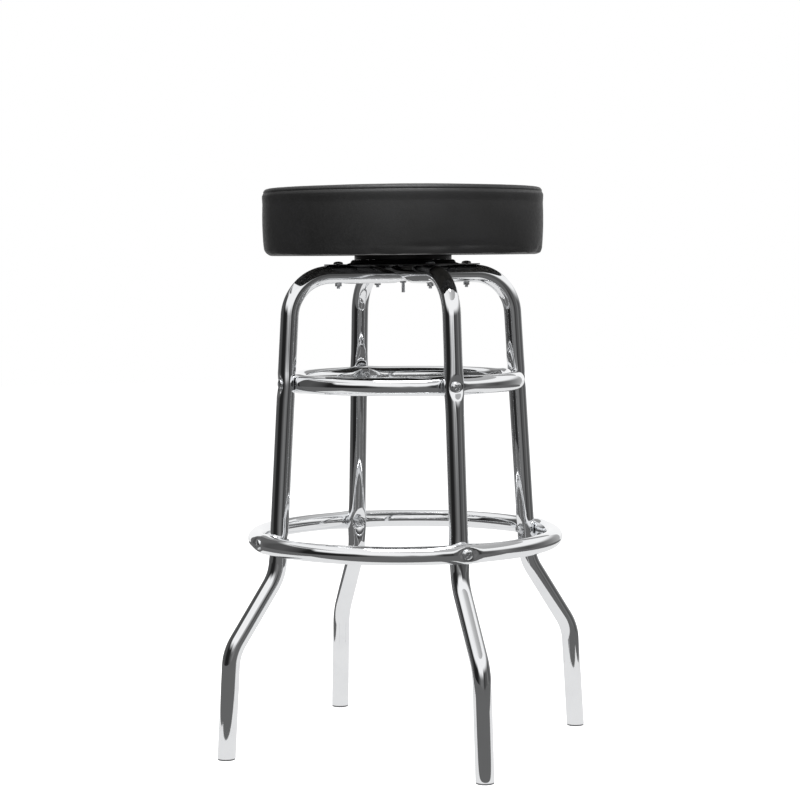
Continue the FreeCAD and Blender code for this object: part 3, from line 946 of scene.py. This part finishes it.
def nutPiece(name, values):  # stands up from height 0, with its points chamfered
    flatR, height = values["flats"] / 2, values["height"]
    pointR = values["flats"] / math.sqrt(3)
    chamfer = (pointR - flatR) * math.tan(nutChamfer)
    piece = lathe(name, [(0.0, 0.0), (flatR, 0.0), (pointR, chamfer), (pointR, height - chamfer),
                         (flatR, height), (0.0, height)], roundSides)
    combine(piece, peg("hexagon", pointR, -height, 2 * height, 6), "INTERSECT")
    if "flangeR" in values:
        flangeR, flangeTop = values["flangeR"], values["flangeTop"]
        flange = lathe("flange", [(0.0, 0.0), (flangeR, 0.0), (flangeR, values["flangeEdge"]),
                                  (pointR * values["neckShare"], flangeTop), (0.0, flangeTop)], roundSides)
        combine(piece, flange, "UNION")
    combine(piece, peg("nutBore", values["boreR"], -height, 2 * height), "DIFFERENCE")
    softenEdges(piece, fastenerEdge)
    smooth(piece, fastenerSmooth)
    return piece


def washerPiece(name, values):
    inner, outer, thick, edge = values["holeR"], values["outerR"], values["thick"], values["edge"]
    piece = lathe(name, [(inner, 0.0), (outer - edge, 0.0), (outer, edge), (outer, thick), (inner, thick),
                         (inner, 0.0)], roundSides)
    smooth(piece)
    return piece


def fasten(start, name, node, material, spots):  # a copy at each place, joined into one piece
    copies = []
    for (point, axis), turn in zip(spots, headTurns):
        copy = turnedCopy(start, name, turn)
        copy.matrix_world = Matrix.Translation(point) @ axis.to_track_quat("Z", "Y").to_matrix().to_4x4()
        copies.append(copy)
    bpy.data.objects.remove(start)
    makeActive(copies[0])
    for copy in copies:
        copy.select_set(True)
    if len(copies) > 1:
        bpy.ops.object.join()
    settle(named(name), "base", "plated_fasteners", material, node)


def placesAround(radius, z):  # the four places of a ring of fasteners, each with its way out
    return [(way * radius + upAxis * z, way) for way in map(wayOut, quarterTurns)]


def ringFasteners(label, node, ringZ, headR, nutR):
    length = headR - nutR + ringNut["height"] + ringBolt["pastNut"]
    fasten(boltPiece("ringBoltStart", ringBolt, length), label + "Bolts", node + "_bolts", brightSteel,
           placesAround(headR, ringZ))
    fasten(nutPiece("ringNutStart", ringNut), label + "Nuts", node + "_nuts", zincSteel,
           [(point, -way) for point, way in placesAround(nutR, ringZ)])


def plateSpots(z):
    return [(point, upAxis) for point, way in placesAround(legHoop["plateBoltR"], z)]


def plateFasteners():
    low, high = boxCorners("plate_bolts")
    seatZ = high.z - plateBolt["headH"]
    fasten(boltPiece("plateBoltStart", plateBolt, seatZ - low.z), "plateBolts", "plate_bolts", zincSteel,
           plateSpots(seatZ))
    fasten(washerPiece("plateWasherStart", plateWasher), "plateWashers", "plate_washers", zincSteel,
           plateSpots(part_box("plate_washers")[0][2]))
    fasten(nutPiece("plateNutStart", plateNut), "plateNuts", "plate_nuts", zincSteel,
           plateSpots(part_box("plate_nuts")[0][2]))


def crossingFasteners():
    low, high = boxCorners("crossing_bolt")
    seatZ = high.z - crossingBolt["headH"]
    fasten(boltPiece("crossingBoltStart", crossingBolt, seatZ - low.z), "crossingBolt", "crossing_bolt",
           zincSteel, [(upAxis * seatZ, upAxis)])
    fasten(nutPiece("crossingNutStart", plateNut), "crossingNut", "crossing_nut", zincSteel,
           [(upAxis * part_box("crossing_nut")[0][2], upAxis)])


sunk = tubeR - pressing["seatDepth"]
ringFasteners("braceRing", "brace_ring", braceZ, legR(braceZ) + sunk, braceHigh.x - tubeR - sunk)
ringFasteners("footRing", "foot_ring", footRingZ, footHigh.x - tubeR + sunk, legR(footRingZ) - sunk)
plateFasteners()
crossingFasteners()
print("fasteners made")


# Swivel: a square plate with a pressed dome, and a round pan with a skirt above it

swivel = {
    "sheet": mm(1.8),
    "domeTopR": mm(72.5),
    "domeBaseR": mm(81),
    "shoulder": mm(5),
    "hubHoleR": mm(42),
    "cornerR": mm(8),
    "skirtGap": mm(0.08),
    "hubR": mm(40),
    "hubWall": mm(1.8),
    "rollReach": mm(6),
    "edge": mm(0.35),
    "sides": 160,
    "cornerSteps": 8,
    "shoulderStart": 10,
    "shoulderSteps": 10,
    "shoulderInSteps": 8,
    "rimSteps": 6,
    "smoothTo": 40,
}


def lowerPlatePiece():
    low, high = boxCorners("lower_swivel_plate")
    sheet, cornerR = swivel["sheet"], swivel["cornerR"]
    side = math.sqrt(2) * (high.x + cornerR * (math.sqrt(2) - 1))
    plate = block("lowerSwivelPlate", (side, side, sheet), upAxis * (low.z + sheet / 2))
    points = plate.data.vertices

    def upright(edge):
        startZ, endZ = [points[index].co.z for index in edge.vertices]
        return abs(startZ - endZ) > sheet / 2

    pick(plate, "EDGE", upright)
    bpy.ops.mesh.bevel(offset=cornerR, segments=swivel["cornerSteps"])
    makeActive(plate)
    plate.rotation_euler = (0, 0, math.radians(45))
    bpy.ops.object.transform_apply(rotation=True)
    hole = peg("domeHole", swivel["domeBaseR"] - sheet / 2, low.z - sheet, high.z, swivel["sides"])
    combine(plate, hole, "DIFFERENCE")
    combine(plate, domePiece(low.z, high.z), "UNION")
    softenEdges(plate, swivel["edge"])
    smooth(plate, swivel["smoothTo"])
    settle(plate, "base", "black_steel", paintedSteel, "lower_swivel_plate")


def domePiece(low, top):  # a shell with a round shoulder, open in the middle for the hub
    sheet, baseR, bendR, sunk = swivel["sheet"], swivel["domeBaseR"], swivel["shoulder"], swivel["edge"]
    bend = (swivel["domeTopR"] - bendR + sheet, top - bendR)
    level, start = 90, swivel["shoulderStart"]
    outside = arcPoints(bend, bendR, start, level, swivel["shoulderSteps"])
    inside = arcPoints(bend, bendR - sheet, level, start, swivel["shoulderInSteps"])
    foot = [(baseR + sheet, low + sheet - sunk), (baseR, low + sheet - sunk)]
    hole = [(swivel["hubHoleR"], top), (swivel["hubHoleR"], top - sheet)]
    back = [(baseR - sheet, low + sunk), (baseR + sheet, low + sunk), foot[0]]
    return lathe("dome", foot + outside + hole + inside + back, swivel["sides"])


def upperPlatePiece():
    low, high = boxCorners("upper_swivel_plate")
    sheet, discR = swivel["sheet"], high.x
    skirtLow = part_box("lower_swivel_plate")[1][2] + swivel["skirtGap"]
    hubIn = swivel["hubR"] - swivel["hubWall"]
    rollTop = low.z + swivel["hubWall"]
    rollR = swivel["hubR"] + swivel["rollReach"]
    outline = [(hubIn, high.z)] + arcPoints(
        (discR - sheet, high.z - sheet), sheet, 90, 0, swivel["rimSteps"])
    outline += [(discR, skirtLow), (discR - sheet, skirtLow), (discR - sheet, high.z - sheet),
                (swivel["hubR"], high.z - sheet), (swivel["hubR"], rollTop), (rollR, rollTop), (rollR, low.z),
                (hubIn, low.z), (hubIn, high.z)]
    plate = lathe("upperSwivelPlate", outline, swivel["sides"])
    softenEdges(plate, swivel["edge"])
    smooth(plate, swivel["smoothTo"])
    settle(plate, "seat", "black_steel", paintedSteel, "upper_swivel_plate")


lowerPlatePiece()
upperPlatePiece()
print("swivel plates pressed")


# Seat: a cloth simulation blows the stuffed form up, and the sewn cover follows its moves

bandLow, bandHigh = boxCorners("cover_side_band")
boardLow, boardHigh = boxCorners("seat_board")
seatR = bandHigh.x
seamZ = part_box("cover_top_panel")[0][2]
underZ = bandLow.z

seat = {
    "coverT": mm(1.0),
    "rimR": mm(6),
    "cornerR": mm(12),
    "crown": mm(2.2),
    "sideDraw": mm(1.6),
    "hem": mm(24),
    "nearPoints": 12,
    "nearSoftness": mm(3),
    "turnSteps": 480,
    "cornerSteps": 14,
    "rimSteps": 16,
    "hemMarks": (3, 1, 10),
    "lowSideMarks": (1.5, 3, 20),
    "highSideMarks": (5, 1, 26),
    "topMarks": (1.2, 4, 22),
    "seamDepth": mm(0.5),
    "seamHalf": mm(0.7),
    "ridge": mm(1.2),
    "ridgePeak": mm(4.5),
    "ridgeEnd": mm(17),
    "ridgeWave": mm(1.6),
    "ridgeWaves": 9,
    "sideWave": mm(0.35),
    "sideWaves": 14,
    "sideWaveUp": mm(10),
    "topWave": mm(0.4),
    "topWaves": 11,
    "topWaveFade": (0.86, 0.95),
    "smoothTo": 60,
}
seamR = seatR - seat["sideDraw"]
boardEdge = seamR - seat["cornerR"]
cornerZ = underZ + seat["cornerR"]
rimIn = seamR - seat["rimR"]
rimTop = seamZ + seat["rimR"]

gathers = {
    "seed": 11,
    "count": 30,
    "side": math.radians(-62),
    "sideShare": 0.25,
    "halfMm": (8, 22),
    "depthMm": (0.3, 1.1),
    "riseMm": (11, 24),
    "fullUp": mm(3),
    "lean": 0.5,
    "edgeRun": mm(6),
    "scallop": mm(1.1),
    "scallopRun": mm(24),
    "scallopSide": 0.4,
    "scallopUp": mm(2),
    "tightness": 0.7,
    "looseSides": [(math.radians(160), 1.0), (math.radians(-28), 0.6)],
    "looseFocus": 4,
    "dents": [
        {"angle": math.radians(-101), "half": mm(30), "up": mm(11), "tall": mm(3.6), "depth": mm(1.2)},
        {"angle": math.radians(-84), "half": mm(26), "up": mm(12.5), "tall": mm(3.4), "depth": mm(1.3)},
        {"angle": math.radians(-63), "half": mm(20), "up": mm(10), "tall": mm(3), "depth": mm(0.6)},
        {"angle": math.radians(24), "half": mm(26), "up": mm(11), "tall": mm(3.2), "depth": mm(0.7)},
        {"angle": math.radians(118), "half": mm(30), "up": mm(12), "tall": mm(3), "depth": mm(0.8)},
    ],
}

staples = {"count": 28, "wire": mm(0.9), "crown": mm(10), "pull": mm(1.1), "reach": mm(3.6), "hemUp": mm(3)}
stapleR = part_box("hem_staples")[1][0] - staples["wire"] / 2


def sidePoints(heights):
    points = []
    for z in heights:
        share = (z - cornerZ) / (seamZ - cornerZ)
        points.append((seamR + seat["sideDraw"] * 4 * share * (1 - share), z))
    return points


def bandOutline():  # from the hem's inner edge, round the lower corner and up to the seam
    hemLine = [(radius, underZ) for radius in spread(boardEdge - seat["hem"], boardEdge, *seat["hemMarks"])]
    corner = arcPoints((boardEdge, cornerZ), seat["cornerR"], -90, 0, seat["cornerSteps"])
    heights = spread(cornerZ, seamZ - seat["ridgeEnd"], *seat["lowSideMarks"])[1:]
    heights += spread(seamZ - seat["ridgeEnd"], seamZ, *seat["highSideMarks"])[1:]
    return hemLine + corner[1:] + sidePoints(heights)


def panelOutline():  # from the seam, over the rim and in to the middle, flat before it is blown up
    rim = arcPoints((rimIn, seamZ), seat["rimR"], 0, 90, seat["rimSteps"])
    return rim + [(radius, rimTop) for radius in spread(rimIn, 0, *seat["topMarks"])[1:]]


def lyingInside(points, inset):  # the same half section, drawn inside the cover
    inner = []
    for radius, z in points:
        if z > seamZ:
            inner.append((max(radius - inset, 0), z - inset))
        else:
            inner.append((radius - inset, max(z, underZ + inset)))
    return inner


stuffing = {
    "sides": 96,
    "voxel": mm(5),
    "frames": 20,
    "boardGrip": (mm(-4), mm(10)),
    "seamGrip": (mm(2), mm(9)),
    "seamShare": 0.92,
    "shrink": mm(1.4),
    "recessPlay": mm(0.3),
    "recessBelow": mm(8),
    "recessSides": 128,
    "smoothTo": 50,
}
clothSettings = {
    "quality": 6,
    "mass": 0.3,
    "tension_stiffness": 25,
    "compression_stiffness": 25,
    "shear_stiffness": 10,
    "bending_stiffness": 2,
    "vertex_group_mass": "pins",
    "use_pressure": True,
    "uniform_pressure_force": 4.0,
}


def stuffedForm():
    outline = lyingInside(bandOutline() + panelOutline()[1:], seat["coverT"])
    form = lathe("seatFoamPad", [(0.0, outline[0][1])] + outline, stuffing["sides"])
    makeActive(form)
    form.data.remesh_voxel_size = stuffing["voxel"]
    bpy.ops.object.voxel_remesh()
    starts = [vertex.co.copy() for vertex in form.data.vertices]
    blowUp(form, starts)
    moves = [vertex.co - start for vertex, start in zip(form.data.vertices, starts)]
    nearby = kdtree.KDTree(len(starts))
    for index, start in enumerate(starts):
        nearby.insert(start, index)
    nearby.balance()
    applyModifier(form, "SUBSURF", levels=1, render_levels=1)
    applyModifier(form, "SMOOTH", factor=0.5, iterations=4)
    return form, nearby, moves


def pinWeight(point):  # the board holds the underside, the sewn seam holds the rim
    radius = math.hypot(point.x, point.y)
    onBoard = 1 - easeStep(point.z - boardHigh.z, *stuffing["boardGrip"])
    fromSeam = math.hypot(radius - seamR, point.z - seamZ)
    return max(onBoard, stuffing["seamShare"] * (1 - easeStep(fromSeam, *stuffing["seamGrip"])))


def blowUp(form, starts):
    pins = form.vertex_groups.new(name="pins")
    for vertex in form.data.vertices:
        pins.add([vertex.index], pinWeight(vertex.co), "REPLACE")
    makeActive(form)
    cloth = form.modifiers.new("Cloth", "CLOTH")
    for setting, value in clothSettings.items():
        setattr(cloth.settings, setting, value)
    cloth.settings.effector_weights.gravity = 0
    cloth.point_cache.frame_start = 1
    cloth.point_cache.frame_end = stuffing["frames"]
    scene = bpy.context.scene
    for step in range(1, stuffing["frames"] + 1):
        scene.frame_set(step)
        bpy.context.view_layer.update()
    bpy.ops.object.modifier_apply(modifier="Cloth")
    scene.frame_set(1)
    form.vertex_groups.clear()
    farthest = max((vertex.co - start).length for vertex, start in zip(form.data.vertices, starts))
    share = seat["crown"] / farthest
    for vertex, start in zip(form.data.vertices, starts):
        vertex.co = start + (vertex.co - start) * share
    print("seat form blown up, farthest move", round(farthest * 1000, 2), "mm")


def followForm(piece, nearby, moves):
    for vertex in piece.data.vertices:
        total = 0
        move = Vector()
        for place, index, distance in nearby.find_n(vertex.co, seat["nearPoints"]):
            weight = 1 / (distance + seat["nearSoftness"]) ** 2
            total += weight
            move += moves[index] * weight
        vertex.co += move / total


def sideFavour(angle, share):  # 1 on the side that the photograph shows best, less by up to twice the share
    return 1 - share + share * math.cos(angle - gathers["side"])


def gatherList():  # soft folds along the bottom edge, where the cover is pulled under and stapled
    draw = random.Random(gathers["seed"])
    folds = []
    for count in range(gathers["count"]):
        angle = draw.uniform(-math.pi, math.pi)
        folds.append({
            "angle": angle,
            "half": mm(draw.uniform(*gathers["halfMm"])),
            "depth": mm(draw.uniform(*gathers["depthMm"])) * sideFavour(angle, gathers["sideShare"]),
            "rise": mm(draw.uniform(*gathers["riseMm"])),
            "lean": draw.uniform(-gathers["lean"], gathers["lean"]),
        })
    return folds


def arcAway(angle, middle):  # distance round the seat's side between two angles
    return ((angle - middle + math.pi) % (2 * math.pi) - math.pi) * seatR


def seamShift(angle, below):  # the band stands proud under the seam, and the thread pulls it in at the seam
    wave = noise.noise(wayOut(angle) * seat["ridgeWaves"]) * seat["ridgeWave"]
    rise = easeStep(below, 0, seat["ridgePeak"])
    fall = 1 - easeStep(below, seat["ridgePeak"], seat["ridgeEnd"] + wave)
    return seat["ridge"] * rise * fall - seat["seamDepth"] * math.exp(-(below / seat["seamHalf"]) ** 2)


def gatherShift(folds, angle, up):
    shift = 0.0
    for fold in folds:
        if up < fold["rise"]:
            offset = (arcAway(angle, fold["angle"]) - fold["lean"] * up) / fold["half"]
            fade = 1 - easeStep(up, gathers["fullUp"], fold["rise"])
            shift -= fold["depth"] * math.exp(-offset * offset) * fade
    for dent in gathers["dents"]:
        across = arcAway(angle, dent["angle"]) / dent["half"]
        along = (up - dent["up"]) / dent["tall"]
        shift -= dent["depth"] * math.exp(-across * across - along * along)
    return shift


def tightenCorner(point):  # the cover is pulled tight round the lower edge, less so on its loose side
    radius = math.hypot(point.x, point.y)
    out = (radius - boardEdge) / seat["cornerR"]
    down = (cornerZ - point.z) / seat["cornerR"]
    if out <= 0 or down <= 0:
        return point
    angle = math.atan2(point.y, point.x)
    loose = max(share * max(math.cos(angle - side), 0) ** gathers["looseFocus"]
                for side, share in gathers["looseSides"])
    push = max(out, down) ** (-gathers["tightness"] * (1 - loose))
    wider = (boardEdge + out * push * seat["cornerR"]) / radius
    return Vector((point.x * wider, point.y * wider, cornerZ - down * push * seat["cornerR"]))


def staplePull(radius, angle):  # each staple draws the hem in
    step = 2 * math.pi / staples["count"]
    along = max(abs(arcAway(angle, round(angle / step) * step)) - staples["crown"] / 2, 0)
    across = radius - stapleR
    return staples["pull"] * math.exp(-(along ** 2 + across ** 2) / staples["reach"] ** 2)


def sewBand(band):
    folds = gatherList()
    for vertex in band.data.vertices:
        vertex.co = tightenCorner(vertex.co)
        point = vertex.co.copy()
        radius = math.hypot(point.x, point.y)
        angle = math.atan2(point.y, point.x)
        up = point.z - underZ
        onSide = easeStep(radius, boardEdge, boardEdge + gathers["edgeRun"])
        shift = seamShift(angle, seamZ - point.z) + gatherShift(folds, angle, up) * onSide
        ripple = noise.noise(point * seat["sideWaves"]) * seat["sideWave"]
        shift += ripple * easeStep(up, 0, seat["sideWaveUp"])
        vertex.co += Vector((point.x, point.y, 0)) / radius * shift
        lie = noise.noise((wayOut(angle) + upAxis) * (seatR / gathers["scallopRun"]))
        lie *= gathers["scallop"] * sideFavour(angle, gathers["scallopSide"]) * onSide
        vertex.co.z += lie * (1 - easeStep(up, gathers["scallopUp"], seat["cornerR"]))
        if up < staples["hemUp"]:
            vertex.co.z += staplePull(radius, angle)


def sewPanel(panel):
    fadeStart, fadeEnd = [seatR * share for share in seat["topWaveFade"]]
    for vertex in panel.data.vertices:
        point = vertex.co.copy()
        radius = math.hypot(point.x, point.y)
        wave = noise.noise(point * seat["topWaves"]) * seat["topWave"]
        vertex.co.z += wave * (1 - easeStep(radius, fadeStart, fadeEnd))
        if radius > rimIn:
            tuck = seat["seamDepth"] * math.exp(-((point.z - seamZ) / seat["seamHalf"]) ** 2)
            vertex.co -= Vector((point.x, point.y, 0)) / radius * tuck


def fillBoardRecess(form):
    applyModifier(form, "DISPLACE", strength=-stuffing["shrink"], mid_level=0)
    play = stuffing["recessPlay"]
    recess = peg("boardRecess", boardHigh.x + play, boardLow.z - stuffing["recessBelow"],
                 boardHigh.z + play, stuffing["recessSides"])
    combine(form, recess, "DIFFERENCE")


def seatPieces():
    form, nearby, moves = stuffedForm()
    panel = lathe("coverTopPanel", panelOutline(), seat["turnSteps"])
    band = lathe("coverSideBand", bandOutline(), seat["turnSteps"])
    followForm(panel, nearby, moves)
    followForm(band, nearby, moves)
    sewPanel(panel)
    sewBand(band)
    for piece, node in ((panel, "cover_top_panel"), (band, "cover_side_band")):
        applyModifier(piece, "SOLIDIFY", thickness=seat["coverT"], offset=-1)
        smooth(piece, seat["smoothTo"])
        settle(piece, "seat", "black_vinyl", vinyl, node)
    fillBoardRecess(form)
    smooth(form, stuffing["smoothTo"])
    settle(form, "seat", "seat_foam", foamMaterial, "seat_foam")


seatPieces()
print("seat sewn")


# Finishes for the solids that are shown as they are

finishes = {
    "seat_screws": zincSteel,
    "floor_glide_right": glidePlastic,
    "floor_glide_back": glidePlastic,
    "floor_glide_left": glidePlastic,
    "floor_glide_front": glidePlastic,
    "bearing_balls": ballSteel,
    "ball_cage": cagePlastic,
    # the hem staples take the wire that is drawn dark as painted shade
    "hem_staples": shadeDarkStapleWire,
    "seat_board": plywood,
}
for nodeName, finish in finishes.items():
    nodes[nodeName].data.materials.clear()
    nodes[nodeName].data.materials.append(finish)
print("finishes set")

clearSelection()
